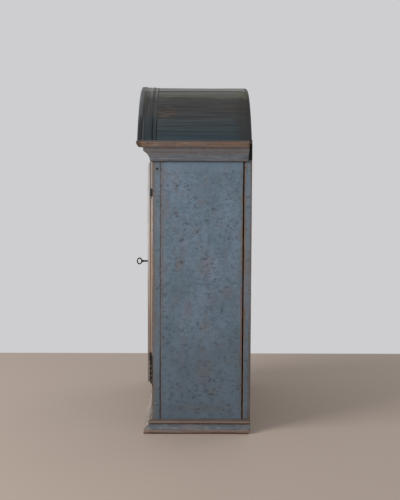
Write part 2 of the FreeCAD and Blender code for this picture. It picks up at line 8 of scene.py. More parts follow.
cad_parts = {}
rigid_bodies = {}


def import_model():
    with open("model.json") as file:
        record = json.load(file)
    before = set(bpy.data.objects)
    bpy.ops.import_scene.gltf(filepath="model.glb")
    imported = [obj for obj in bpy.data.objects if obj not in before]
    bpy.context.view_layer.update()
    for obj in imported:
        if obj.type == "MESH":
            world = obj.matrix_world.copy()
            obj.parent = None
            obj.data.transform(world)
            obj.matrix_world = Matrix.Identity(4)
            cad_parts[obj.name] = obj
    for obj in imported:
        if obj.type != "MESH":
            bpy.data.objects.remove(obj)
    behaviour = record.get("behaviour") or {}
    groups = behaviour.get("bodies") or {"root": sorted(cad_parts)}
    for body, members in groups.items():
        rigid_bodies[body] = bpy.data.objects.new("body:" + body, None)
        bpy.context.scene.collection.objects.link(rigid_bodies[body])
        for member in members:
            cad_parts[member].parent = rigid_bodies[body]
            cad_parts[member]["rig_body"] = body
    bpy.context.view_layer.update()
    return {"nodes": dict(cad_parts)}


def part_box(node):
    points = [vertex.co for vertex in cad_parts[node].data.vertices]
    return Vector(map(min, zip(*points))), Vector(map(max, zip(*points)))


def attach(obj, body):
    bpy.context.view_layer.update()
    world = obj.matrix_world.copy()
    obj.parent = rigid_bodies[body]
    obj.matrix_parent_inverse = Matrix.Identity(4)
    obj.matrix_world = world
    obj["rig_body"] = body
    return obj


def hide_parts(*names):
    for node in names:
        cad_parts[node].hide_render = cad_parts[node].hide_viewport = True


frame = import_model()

# Side boards
# Two wide pine boards stand upright and carry the shelves in shallow housings.
# Outside they wear blue milk paint, rubbed thin and pitted; inside they are bare wood.

X, Y, Z = range(3)
LOW, HIGH = range(2)


class Tint:
    """A value or colour in a finish. Arithmetic on it adds Math nodes to its material."""

    def __init__(self, socket):
        self.socket = socket

    def node(self, kind, settings, sockets, output=0):
        tree = self.socket.id_data
        made = tree.nodes.new("ShaderNode" + kind)
        for name, setting in settings.items():
            setattr(made, name, setting)
        for name, value in sockets.items():
            if isinstance(value, Tint):
                tree.links.new(value.socket, made.inputs[name])
            else:
                made.inputs[name].default_value = value
        return Tint(made.outputs[output])

    def math(self, operation, first, second):
        return self.node("Math", {"operation": operation}, {0: first, 1: second})

    def __add__(self, other):
        return self.math("ADD", self, other)

    def __radd__(self, other):
        return self.math("ADD", other, self)

    def __sub__(self, other):
        return self.math("SUBTRACT", self, other)

    def __rsub__(self, other):
        return self.math("SUBTRACT", other, self)

    def __mul__(self, other):
        return self.math("MULTIPLY", self, other)

    def __rmul__(self, other):
        return self.math("MULTIPLY", other, self)

    def __abs__(self):
        return self.math("ABSOLUTE", self, 0.0)


def larger(first, second):
    return first.math("MAXIMUM", first, second)


def smaller(first, second):
    return first.math("MINIMUM", first, second)


def dye(red, green, blue):
    """Linear colour from the three bytes of a screen colour."""
    return [((value / 255 + 0.055) / 1.055) ** 2.4 for value in (red, green, blue)] + [1.0]


def vector_math(operation, first, second):
    return first.node("VectorMath", {"operation": operation}, {0: first, 1: second})


def split(vector):
    """The X, Y and Z of a vector."""
    made = vector.node("SeparateXYZ", {}, {0: vector}).socket.node
    return [Tint(output) for output in made.outputs]


def spread(run, across, lengthwise):
    """Noise frequencies per metre on X, Y and Z, for a grain that runs along one of them."""
    return [lengthwise if axis == run else across for axis in (X, Y, Z)]


def mottle(place, frequencies, detail=3.0, roughness=0.55):
    """Soft noise from 0 to 1."""
    spot = vector_math("MULTIPLY", place, frequencies)
    return place.node(
        "TexNoise", {}, {"Vector": spot, "Scale": 1.0, "Detail": detail, "Roughness": roughness}
    )


def between(value, low, high):
    """0 up to low, 1 from high on, and a soft step between them."""
    return value.node(
        "MapRange", {"interpolation_type": "SMOOTHSTEP"}, {0: value, 1: low, 2: high}
    )


def within(level, low, high, soft):
    """1 between two limits, fading over the soft distance outside them."""
    return between(level, low - soft, low) * between(level, high + soft, high)


def frayed(value, ragged, reach):
    """The value, shifted to and fro by ragged noise, by half the reach at most."""
    return value + (ragged - 0.5) * reach


def blend(share, under, over):
    """Colour under, covered by colour over where the share is 1."""
    return share.node("Mix", {"data_type": "RGBA"}, {0: share, 6: under, 7: over}, 2)


def new_finish(name):
    """Empty material, and the place on the piece that its nodes see, in metres."""
    material = bpy.data.materials.new(name)
    material.use_nodes = True
    place = material.node_tree.nodes.new("ShaderNodeTexCoord").outputs["Object"]
    return material, Tint(place)


def coat(material, colour, roughness, height, depth):
    """Lay a finish on the material's shader; the height is pressed in as bumps of that depth."""
    tree = material.node_tree
    shader = tree.nodes["Principled BSDF"]
    shader.inputs["Specular IOR Level"].default_value = 0.3
    bump = colour.node("Bump", {}, {"Height": height, "Distance": depth})
    for name, value in (("Base Color", colour), ("Roughness", roughness), ("Normal", bump)):
        tree.links.new(value.socket, shader.inputs[name])
    return material


def corner(place, name):
    """A corner of the board's own box, which timber() writes on its mesh."""
    return place.node("Attribute", {"attribute_name": name}, {}, "Vector")


def face_gaps(place, low, high):
    """Distances on X, Y and Z to the nearer face of a box."""
    from_low = vector_math("SUBTRACT", place, corner(place, low))
    from_high = vector_math("SUBTRACT", corner(place, high), place)
    return split(vector_math("MINIMUM", from_low, from_high))


def arris_gap(place):
    """Distance to the nearest exposed arris: the middle one of the three distances to the faces."""
    x, y, z = face_gaps(place, "worn_low", "worn_high")
    return larger(smaller(x, y), smaller(larger(x, y), z))


def seam_gap(place):
    """Distance to the nearest face that is shut against another board."""
    x, y, z = face_gaps(place, "seat_low", "seat_high")
    return smaller(smaller(x, y), z)


def own_grain(place):
    """The place shifted by the board's own corner, so that no two boards share a pattern."""
    shift = vector_math("MULTIPLY", corner(place, "worn_low"), [3.1, 5.3, 2.7])
    return vector_math("ADD", place, shift)


def smudge(place, ragged, spot, reach):
    """Share of a frayed spot on a piece; reach is its half size on X, Y and Z."""
    away = vector_math("DIVIDE", vector_math("SUBTRACT", place, spot), reach)
    distance = away.node("VectorMath", {"operation": "LENGTH"}, {0: away}, "Value")
    return between(frayed(distance, ragged, 2.2), 1.2, 0.5)


def smudges(place, ragged, spots):
    """Share of all the given spots together."""
    share = ragged * 0.0
    for spot, reach in spots:
        share = larger(share, smudge(place, ragged, spot, reach))
    return share


def milk_paint(place, run, rubs=(), dents=(), worn=1.0):
    """Colour, roughness and height of old blue paint, worn through at the arrises and dark in the seams."""
    level = split(place)[Z]
    grain = own_grain(place)
    tone = mottle(grain, spread(run, 11, 7), 4, 0.6)
    hue = mottle(grain, spread(run, 24, 15), 3)
    patch = mottle(grain, spread(run, 30, 22), 6, 0.68)
    crowd = between(mottle(grain, spread(run, 17, 21), 4, 0.6), 0.42, 0.6)
    dapple = mottle(grain, spread(run, 82, 80), 4, 0.62)
    speck = mottle(grain, spread(run, 118, 104), 3, 0.6)
    dash = mottle(grain, spread(run, 66, 112), 3, 0.6)
    brushed = mottle(grain, spread(run, 200, 13), 3)
    fray = mottle(grain, spread(run, 120, 32), 5, 0.65)
    stretch = between(mottle(grain, spread(run, 3, 8), 3), 0.4, 0.62)
    arris = arris_gap(place)
    low_down = between(level, 0.32, 0.12)
    rubbed = larger(between(patch, 0.53, 0.68), smudges(place, dapple, rubs))
    scuffed = between(dash, 0.55, 0.66) * (0.16 + crowd * 0.46 + rubbed * 0.25 + low_down * 0.25)
    scratched = between(dash, 0.44, 0.34) * (0.3 + crowd * 0.7)
    pits = between(speck, 0.6, 0.7) * (0.25 + crowd * 0.5)
    pitted = larger(pits, smudges(place, speck, dents) * 0.7)
    thin = between(fray * (0.02 * worn) - arris, 0.0, 0.006) * (0.35 + stretch * 0.65)
    through = between(fray * 0.006 - arris, 0.0, 0.0014) * (0.3 + stretch * 0.7)
    soiled = between(fray * (0.0028 + low_down * 0.0026) - seam_gap(place), 0.0, 0.0006)
    # Darker towards the bottom: partly the paint's own tone, partly painted shade where the light falls off
    # low down.
    foot = between(frayed(level, tone, 0.2), 0.64, 0.0)
    colour = blend(between(tone, 0.34, 0.66), dye(98, 119, 134), dye(112, 130, 149))
    colour = blend(between(hue, 0.45, 0.68) * 0.5, colour, dye(102, 110, 124))
    colour = blend(between(hue, 0.45, 0.3) * 0.5, colour, dye(96, 116, 121))
    colour = blend(between(dapple, 0.5, 0.68) * 0.5, colour, dye(80, 90, 99))
    colour = blend(between(dapple, 0.46, 0.32) * 0.35, colour, dye(122, 137, 148))
    colour = blend(between(brushed, 0.48, 0.74) * 0.15, colour, dye(116, 124, 131))
    colour = blend(rubbed * 0.55, colour, dye(112, 109, 114))
    colour = blend(scuffed * 0.8, colour, dye(68, 66, 70))
    colour = blend(scratched * 0.4, colour, dye(130, 141, 150))
    colour = blend(thin * 0.7, colour, dye(112, 104, 98))
    colour = blend(foot * 0.55, colour, dye(70, 80, 87))
    colour = blend(through * 0.85, colour, blend(brushed, dye(88, 64, 48), dye(136, 103, 78)))
    colour = blend(pitted * 0.75, colour, dye(50, 54, 60))
    colour = blend(soiled * 0.9, colour, blend(low_down, dye(44, 39, 38), dye(30, 36, 44)))
    roughness = 0.82 - rubbed * 0.12 - through * 0.1
    height = dapple * 0.35 + brushed * 0.15 - pitted * 0.8 - scuffed * 0.5 - thin * 0.3 - through * 0.3
    return colour, roughness, height


def bare_pine(place, run, pale, dark):
    """Colour, roughness and height of unpainted pine: growth rings drawn out along the grain."""
    grain = own_grain(place)
    rings = mottle(grain, spread(run, 62, 2.4), 5, 0.55)
    fibre = mottle(grain, spread(run, 480, 16), 2)
    stain = mottle(grain, spread(run, 7, 5), 4, 0.6)
    bands = between(rings, 0.4, 0.62)
    colour = blend(bands, pale, dark)
    colour = blend(between(fibre, 0.45, 0.75) * 0.5, colour, dark)
    colour = blend(between(stain, 0.5, 0.72) * 0.45, colour, dye(66, 52, 42))
    return colour, 0.82 - bands * 0.1, fibre * 0.5 - bands * 0.35


inside_pale = dye(164, 128, 92)
inside_dark = dye(118, 84, 56)


def painted_outside(name, run, outside, rubs=(), dents=(), worn=1.0, marked=None):
    """Boards painted where the outside share is 1, bare elsewhere; marked lays wear, stains and painted
    light on the paint.
    """
    material, place = new_finish(name)
    paint, paint_roughness, paint_height = milk_paint(place, run, rubs, dents, worn)
    pine, pine_roughness, pine_height = bare_pine(place, run, inside_pale, inside_dark)
    share = outside(place)
    if marked:
        paint = marked(place, paint)
    colour = blend(share, pine, paint)
    roughness = pine_roughness + share * (paint_roughness - pine_roughness)
    height = pine_height + share * (paint_height - pine_height)
    return coat(material, colour, roughness, height, 0.0006)


def box_gaps(spot, box):
    """Distances of a point to the nearer faces of a box, as (gap, axis), the least first."""
    gaps = [(min(spot[axis] - box[LOW][axis], box[HIGH][axis] - spot[axis]), axis) for axis in (X, Y, Z)]
    return sorted(gaps)


touching = 0.00001
far = 1.0


def copied(node):
    """The node's mesh with its loose triangles merged and its flat faces joined."""
    work = bmesh.new()
    work.from_mesh(frame["nodes"][node].data)
    bmesh.ops.remove_doubles(work, verts=work.verts[:], dist=touching)
    bmesh.ops.dissolve_limit(work, angle_limit=math.radians(0.5), verts=work.verts[:], edges=work.edges[:])
    return work


def sliced(work, box, run, step):
    """Cut the mesh across, so that wear can be pressed into it along its run."""
    length = box[HIGH][run] - box[LOW][run]
    count = max(2, round(length / step))
    normal = Vector([axis == run for axis in (X, Y, Z)])
    for index in range(1, count):
        cut = box[LOW] + normal * (length * index / count)
        everything = work.verts[:] + work.edges[:] + work.faces[:]
        bmesh.ops.bisect_plane(work, geom=everything, plane_co=cut, plane_no=normal)


def settled(work, name, node, material, smooth=None):
    """Make the finished mesh a piece that rides with the node's body."""
    mesh = bpy.data.meshes.new(name)
    work.to_mesh(mesh)
    work.free()
    if smooth:
        mesh.shade_smooth()
        mesh.set_sharp_from_angle(angle=math.radians(smooth))
    mesh.materials.append(material)
    piece = bpy.data.objects.new(name, mesh)
    bpy.context.scene.collection.objects.link(piece)
    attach(piece, frame["nodes"][node]["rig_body"])
    return piece


def write_corners(piece, box, shut):
    """Note the box's exposed faces for wear and its shut ones for dirt; the others are put far away."""
    worn = [box[LOW].copy(), box[HIGH].copy()]
    seat = [box[LOW] - Vector((far, far, far)), box[HIGH] + Vector((far, far, far))]
    for axis, side in shut:
        worn[side][axis] += far if side == HIGH else -far
        seat[side][axis] = box[side][axis]
    corners = (
        ("worn_low", worn[LOW]),
        ("worn_high", worn[HIGH]),
        ("seat_low", seat[LOW]),
        ("seat_high", seat[HIGH]),
    )
    for name, spot in corners:
        layer = piece.data.attributes.new(name, "FLOAT_VECTOR", "POINT")
        layer.data.foreach_set("vector", list(spot) * len(piece.data.vertices))


def middle_of(node):
    """Centre of the node's box."""
    low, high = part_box(node)
    return (low + high) / 2


def eased(work, edges, offset):
    """Take the edges off with a small round."""
    bmesh.ops.bevel(
        work, geom=edges, offset=offset, affect="EDGES", segments=2, profile=0.5, material=-1,
        clamp_overlap=True,
    )


def knock(spot, coarse, fine, quiet):
    """Share of a knock at a point: two sizes of noise, less the level up to which nothing shows."""
    return max(0.0, noise.noise(spot * coarse) + 0.5 * noise.noise(spot * fine) - quiet)


def on_face(edge, box, axis, side):
    """Whether the edge lies in that face of the box."""
    return all(abs(vert.co[axis] - box[side][axis]) < touching for vert in edge.verts)


def timber(node, material, shut=(), arris=0.0011, nick=0.0016, step=0.009):
    """A board copied from its node, with its open arrises planed off and nicked."""
    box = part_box(node)
    work = copied(node)
    outer = []
    for edge in work.edges:
        if any(on_face(edge, box, axis, side) for axis, side in shut):
            continue
        if all(box_gaps(vert.co, box)[1][0] < touching for vert in edge.verts):
            outer.append(edge)
    eased(work, outer, arris)
    size = box[HIGH] - box[LOW]
    sliced(work, box, max((X, Y, Z), key=lambda axis: size[axis]), step)
    middle = middle_of(node)
    for vert in work.verts:
        first, second, third = box_gaps(vert.co, box)
        if second[0] > 1.1 * arris or third[0] < 2 * arris:
            continue
        bite = nick * knock(vert.co, 70, 190, 0.12)
        for gap, axis in (first, second):
            inward = math.copysign(1, middle[axis] - vert.co[axis])
            vert.co[axis] += inward * bite * min(1.0, 4 * gap / arris)
    piece = settled(work, node + "_wood", node, material)
    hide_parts(node)
    write_corners(piece, box, shut)


side_low, side_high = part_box("side_right")
side_face = side_high[X]
rub_depth = 0.05


def side_outside(place):
    """1 in the outer part of the boards' thickness, so that the arrises count as painted."""
    return between(abs(split(place)[X]), side_face - 0.018, side_face - 0.014)


def on_side(depth, level, half_depth, half_height, face=side_face):
    """Spot on a side's outer face, the right one unless another is given, and its half sizes."""
    return (face, depth, level), (rub_depth, half_depth, half_height)


# Places rubbed thin, then dents: depth, level, half depth and half height.
side_rubs = [
    on_side(-0.120, 0.580, 0.009, 0.330),
    on_side(-0.110, 0.792, 0.012, 0.024),
    on_side(-0.079, 0.754, 0.009, 0.020),
    on_side(0.001, 0.709, 0.014, 0.012),
    on_side(-0.108, 0.690, 0.010, 0.050),
    on_side(0.012, 0.512, 0.024, 0.034),
    on_side(-0.068, 0.518, 0.017, 0.026),
    on_side(0.078, 0.432, 0.020, 0.022),
    on_side(-0.038, 0.377, 0.014, 0.032),
    on_side(0.012, 0.330, 0.018, 0.022),
    on_side(0.009, 0.190, 0.032, 0.048),
    on_side(0.034, 0.125, 0.022, 0.014),
    on_side(-0.005, 0.072, 0.100, 0.014),
]
side_dents = [
    on_side(-0.028, 0.783, 0.0035, 0.0030),
    on_side(-0.041, 0.758, 0.0035, 0.0030),
    on_side(0.019, 0.685, 0.0035, 0.0030),
    on_side(-0.014, 0.616, 0.0055, 0.0050),
    on_side(-0.056, 0.594, 0.0040, 0.0040),
    on_side(0.082, 0.597, 0.0040, 0.0040),
    on_side(0.012, 0.535, 0.0080, 0.0035),
    on_side(0.063, 0.378, 0.0030, 0.0090),
    on_side(-0.010, 0.338, 0.0045, 0.0035),
    on_side(0.027, 0.162, 0.0035, 0.0090),
    on_side(0.084, 0.083, 0.0070, 0.0040),
    on_side(0.072, 0.232, 0.0040, 0.0040),
    on_side(-0.098, 0.100, 0.0040, 0.0035),
]
cornice_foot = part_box("cornice_right")[LOW][Z]
bared_low, bared_high = 0.262, 0.440


def side_wear_and_painted_light(place, colour):
    """Painted light under the cornice against its shadow, a grey front strip, and a stretch of the rear
    arris worn to wood.
    """
    y, z = split(place)[Y:]
    from_front = y - side_low[Y]
    from_rear = side_high[Y] - y
    ragged = mottle(place, [40, 40, 60], 4, 0.6)
    # Painted light: the paint is lighter and bluer under the cornice, where its shadow falls.
    under = between(frayed(z, ragged, 0.03), cornice_foot - 0.046, cornice_foot - 0.016)
    under = under * between(from_front, 0.010, 0.024) * between(seam_gap(place), 0.001, 0.004)
    colour = blend(under * 0.45, colour, dye(117, 136, 154))
    rear = between(frayed(from_rear, ragged, -0.003), 0.0070, 0.0040)
    bared = rear * within(frayed(z, ragged, 0.05), bared_low, bared_high, 0.020)
    colour = blend(bared * 0.65, colour, dye(113, 84, 73))
    front = within(frayed(from_front, ragged, 0.002), 0.0030, 0.0070, 0.0020)
    return blend(front * 0.4, colour, dye(103, 94, 92))


side_paint = painted_outside("side_paint", Z, side_outside, side_rubs, side_dents, marked=side_wear_and_painted_light)
for side in ("side_left", "side_right"):
    timber(side, side_paint, shut=((Y, LOW), (Z, LOW), (Z, HIGH)))

# Bottom, floor, shelves and top
# Five plain pine boards let into the sides; the two shelves stand back from the face frame.
# Bare wood, darkened with age and use, with the plane's marks still in it.

inner_wood, place = new_finish("inner_wood")
coat(inner_wood, *bare_pine(place, X, inside_pale, inside_dark), 0.0005)
inner_boards = ("bottom_board", "floor_board", "shelf_lower", "shelf_upper", "top_board")
for board in inner_boards:
    timber(board, inner_wood, arris=0.0009, nick=0.001, step=0.02)

# Back boards
# Four thick upright boards nailed on behind, with a V groove on each joint.
# Rough bare wood at the back; the outer edges, which show from the side, carry the blue paint.

back_wood, place = new_finish("back_wood")
weathered, weathered_roughness, weathered_height = bare_pine(place, Z, dye(128, 106, 84), dye(84, 66, 50))
edge_cuts = [on_side(0.139, 0.803, 0.005, 0.0016), on_side(0.136, 0.220, 0.007, 0.0016)]
edge_rubs = [on_side(0.139, 0.490, 0.020, 0.120), on_side(0.139, 0.320, 0.020, 0.150, -side_face)]
edge_paint, _, edge_height = milk_paint(place, Z, edge_rubs, edge_cuts)
edge_grime = mottle(place, [60, 60, 24], 4, 0.6)
back_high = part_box("back_board_4")[HIGH]
back_edge = back_high[X]
back_face = back_high[Y]
across, depth, level = split(place)
grimy = between(frayed(depth, edge_grime, 0.008), back_face - 0.0105, back_face - 0.0075)
grimy = grimy * between(frayed(level, edge_grime, 0.2), 0.40, 0.28)
brush_reach = mottle(place, [0.0, 0.0, 40.0], 4) * 0.012
painted_edge = between(abs(across) + brush_reach, back_edge + 0.0015, back_edge + 0.0035)
back_colour = blend(painted_edge, weathered, blend(grimy * 0.55, edge_paint, dye(92, 80, 71)))
coat(back_wood, back_colour, weathered_roughness, weathered_height + painted_edge * edge_height, 0.0008)
back_boards = ["back_board_%d" % number for number in (1, 2, 3, 4)]
for board in back_boards:
    timber(board, back_wood, shut=((Z, LOW), (Z, HIGH)), nick=0.002)

# Face frame
# Two stiles and three rails, mortised together and nailed to the front of the sides.
# Painted in front; the corner of each stile is rubbed to the wood by many hands.

stile_low, stile_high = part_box("stile_right")
stile_edge = stile_high[X]
stile_face = stile_low[Y]
frame_rear = stile_high[Y]


def frame_outside(place):
    """1 on the frame's front and edges, 0 on the face that is nailed to the sides."""
    return between(split(place)[Y], frame_rear - 0.0001, frame_rear - 0.0004)


upper_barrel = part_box("knuckle_upper")
lower_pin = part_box("pintle_lower")
hinge_stains = (
    (upper_barrel[LOW][Z] + 0.002, upper_barrel[HIGH][Z] + 0.002),
    (lower_pin[LOW][Z], lower_pin[HIGH][Z]),
)
hand_low, hand_high = 0.47, 0.73


def rubbed_corner(place, colour):
    """The stile's outer corner, rubbed to pale wood and stained dark beside the hinges."""
    x, y, z = split(place)
    ragged = mottle(place, [90, 90, 30], 4, 0.6)
    grimed = mottle(place, [140, 140, 60], 3, 0.6)
    inset = stile_edge - abs(x)
    away = frayed(larger(y - stile_face, inset * 1.4), ragged, 0.004)
    wide = within(frayed(z, ragged, 0.06), hand_low, hand_high, 0.03)
    level = frayed(z, ragged, 0.1)
    hinge_side = between(x, 0.0, 0.01)
    colour = blend(between(seam_gap(place), 0.001, 0.003) * 0.26, colour, dye(98, 101, 102))
    colour = blend(between(away, 0.013, 0.004) * 0.45, colour, dye(114, 99, 89))
    bared = between(away - wide * 0.0017, 0.0023, 0.0007)
    bare = blend(between(level, 0.62, 0.54), dye(186, 172, 163), dye(164, 134, 114))
    bare = blend(between(level, 0.44, 0.34), bare, dye(106, 82, 70))
    bare = blend(between(z, 0.70, 0.76), bare, dye(182, 175, 171))
    bare = blend(between(grimed, 0.5, 0.66) * 0.5, bare, dye(128, 106, 92))
    colour = blend(bared * 0.75, colour, bare)
    for low, high in hinge_stains:
        beside = within(frayed(z, grimed, 0.012), low, high, 0.003) * hinge_side
        stain = beside * between(frayed(away, grimed, 0.003), 0.0054, 0.0030)
        colour = blend(stain * 0.85, colour, blend(ragged, dye(34, 31, 30), dye(62, 52, 46)))
    return colour


stile_paint = painted_outside("stile_paint", Z, frame_outside, worn=1.5, marked=rubbed_corner)
rail_paint = painted_outside("rail_paint", X, frame_outside)
stile_seats = ((Y, HIGH), (Z, LOW), (Z, HIGH))
for stile in ("stile_left", "stile_right"):
    timber(stile, stile_paint, shut=stile_seats, arris=0.0018, nick=0.0024)
for rail in ("rail_top", "rail_middle", "rail_bottom"):
    timber(rail, rail_paint, shut=((X, LOW), (X, HIGH)), step=0.012)

# Base and cornice mouldings
# Run with moulding planes, mitred at the front corners and nailed round the case.
# The base's bead and foot and the cornice's nose are worn to orange pine; the hollows keep grey paint.


def moulding_paint(name, run, front, hollow, proud, worn_levels, bands, mitre):
    """Grey-blue paint in the hollows, worn to wood on the proud parts; bands and mitre lie over both.

    Front is the box of the front length. Worn levels are (low, high, share), bands the same with a colour,
    both above its foot; mitre is (start, full, share, colour) from the mitred corner.
    """
    material, place = new_finish(name)
    x, y, z = split(place)
    from_corner = front[HIGH][X] - abs(x) if run == X else y - front[LOW][Y]
    height_above = z - front[LOW][Z]
    streak = mottle(place, spread(run, 240, 8), 4, 0.6)
    patch = mottle(place, spread(run, 60, 15), 5, 0.62)
    dapple = mottle(place, spread(run, 110, 45), 4, 0.62)
    fleck = mottle(place, spread(run, 250, 80), 2)
    warmth = mottle(place, spread(run, 40, 9), 4, 0.6)
    level = frayed(height_above, patch, 0.005)
    worn = patch * 0.0
    for low, high, share in worn_levels:
        worn = worn + within(level, low, high, 0.0015) * share
    worn = between(worn * (0.6 + patch * 0.8), 0.3, 0.85)
    paint = blend(between(streak, 0.36, 0.64), *hollow)
    paint = blend(between(warmth, 0.52, 0.66) * 0.5, paint, dye(126, 114, 112))
    paint = blend(between(warmth, 0.48, 0.34) * 0.4, paint, dye(104, 120, 130))
    paint = blend(between(dapple, 0.52, 0.66) * 0.6, paint, dye(78, 80, 86))
    paint = blend(between(dapple, 0.45, 0.34) * 0.4, paint, dye(140, 142, 146))
    wood = blend(between(streak, 0.36, 0.66), *proud)
    wood = blend(between(warmth, 0.54, 0.42) * 0.6, wood, dye(118, 108, 104))
    wood = blend(between(dapple, 0.54, 0.68) * 0.55, wood, dye(84, 70, 62))
    colour = blend(worn, paint, wood)
    for low, high, share, shade in bands:
        band = within(frayed(height_above, streak, 0.0015), low, high, 0.0006)
        colour = blend(band * share, colour, shade)
    start, full, share, shade = mitre
    colour = blend(between(frayed(from_corner, patch, 0.006), start, full) * share, colour, shade)
    colour = blend(between(fleck, 0.66, 0.73) * 0.7, colour, dye(52, 46, 44))
    roughness = 0.76 - worn * 0.1
    return coat(material, colour, roughness, streak * 0.4 + patch * 0.3 - worn * 0.3, 0.0007)


def moulding(node, material, run, knocked, nick):
    """A length of moulding, its proud part between the knocked levels dented along its run."""
    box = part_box(node)
    work = copied(node)
    sliced(work, box, run, 0.006)
    out_axis = X if run == Y else Y
    proud_side = HIGH if box[LOW][out_axis] > 0 else LOW
    proud = box[proud_side][out_axis]
    inward = -1 if proud_side == HIGH else 1
    reach = box[HIGH][out_axis] - box[LOW][out_axis]
    for vert in work.verts:
        level = vert.co[Z] - box[LOW][Z]
        if level < knocked[LOW] or level > knocked[HIGH]:
            continue
        share = max(0.0, 1 - abs(vert.co[out_axis] - proud) / (0.5 * reach))
        vert.co[out_axis] += inward * nick * knock(vert.co, 42, 130, 0.2) * share
    piece = settled(work, node + "_wood", node, material, smooth=32)
    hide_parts(node)


orange_pine = (dye(98, 78, 68), dye(146, 116, 94))
quirk_dirt = dye(40, 33, 30)
cornice_levels = (
    (dye(104, 110, 119), dye(128, 134, 143)),
    orange_pine,
    ((0.0445, 0.0660, 1.0), (-0.0020, 0.0015, 0.5)),
    (
        (0.0150, 0.0220, 0.40, dye(128, 139, 147)),  # bluer middle of the cove
        (0.0220, 0.0410, 0.60, dye(146, 142, 143)),  # cove and band painted paler: painted light against the shade on their downward faces
        (0.0445, 0.0525, 0.36, dye(148, 132, 122)),  # lower half of the nose painted paler: painted light on its shaded underside
        (0.0410, 0.0440, 0.15, dye(60, 52, 48)),  # painted shade in the step under it
        (0.0593, 0.0660, 0.76, dye(62, 56, 53)),  # dark rounded top
        (0.0015, 0.0065, 0.35, dye(92, 82, 80)),  # brown foot of the cove
        (-0.0020, 0.0012, 0.90, dye(50, 36, 31)),  # painted shadow and dirt along the seam on the case
    ),
    (0.018, 0.011, 0.65, dye(68, 54, 48)),
)
base_mitre = (0.020, 0.008, 0.30, dye(146, 124, 110))
base_levels = (
    (dye(79, 84, 90), dye(94, 98, 103)),
    orange_pine,
    ((0.0275, 0.041, 0.95), (-0.002, 0.0095, 0.95)),
    (
        (0.0200, 0.0250, 0.30, dye(62, 60, 60)),  # shade in the hollow
        (0.0345, 0.041, 0.75, dye(62, 56, 55)),  # painted shade on the top of the bead, where it meets the case
        (0.0270, 0.0338, 0.60, dye(150, 132, 122)),  # rubbed bead
        (0.0252, 0.0262, 0.70, quirk_dirt),  # quirk under it
        (0.0060, 0.0120, 0.45, dye(124, 106, 98)),  # rubbed upper edge of the foot
        (-0.002, 0.0042, 0.75, dye(62, 40, 30)),  # damp foot
    ),
    base_mitre,
)
# The front length is paler than the sides: partly worn pale wood, partly painted light on the face towards
# the light.
front_base_levels = (
    (dye(120, 113, 108), dye(148, 140, 134)),
    (dye(122, 112, 105), dye(156, 145, 137)),
    ((-0.002, 0.041, 0.95),),
    ((0.0252, 0.0264, 0.60, quirk_dirt), (-0.002, 0.0014, 0.80, quirk_dirt)),
    base_mitre,
)
for name, front_levels, side_levels, knocked in (
    ("cornice", cornice_levels, cornice_levels, (0.045, 0.069)),
    ("base", front_base_levels, base_levels, (-0.001, 0.008)),
):
    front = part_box(name + "_front")
    along_front = moulding_paint(name + "_front_paint", X, front, *front_levels)
    along_side = moulding_paint(name + "_side_paint", Y, front, *side_levels)
    moulding(name + "_front", along_front, X, knocked, 0.0025)
    for side in ("_left", "_right"):
        moulding(name + side, along_side, Y, knocked, 0.0025)

# Hood
# An arched tympanum and a thick back board carry five bent roof boards; a moulded arch closes the front.
# Dark teal-grey paint, streaked along the boards, dusty on top and bluer at the springing.

roof_low, roof_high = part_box("roof_board_3")
roof_front = roof_low[Y]
roof_rear = roof_high[Y]
eave_low, eave_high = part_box("roof_board_5")
roof_rise = roof_high[Z] - eave_low[Z]
roof_radius = (roof_rise**2 + eave_high[X] ** 2) / (2 * roof_rise)
roof_centre = Vector((0, 0, roof_high[Z] - roof_radius))
hood_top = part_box("arch_moulding")[HIGH][Z]
arch_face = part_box("arch_moulding")[LOW][Y]
arch_grooves = ((0.0438, 0.0468), (0.0546, 0.0578))
worn_patch = ((0.22, -0.108, 0.976), (0.1, 0.032, 0.021))


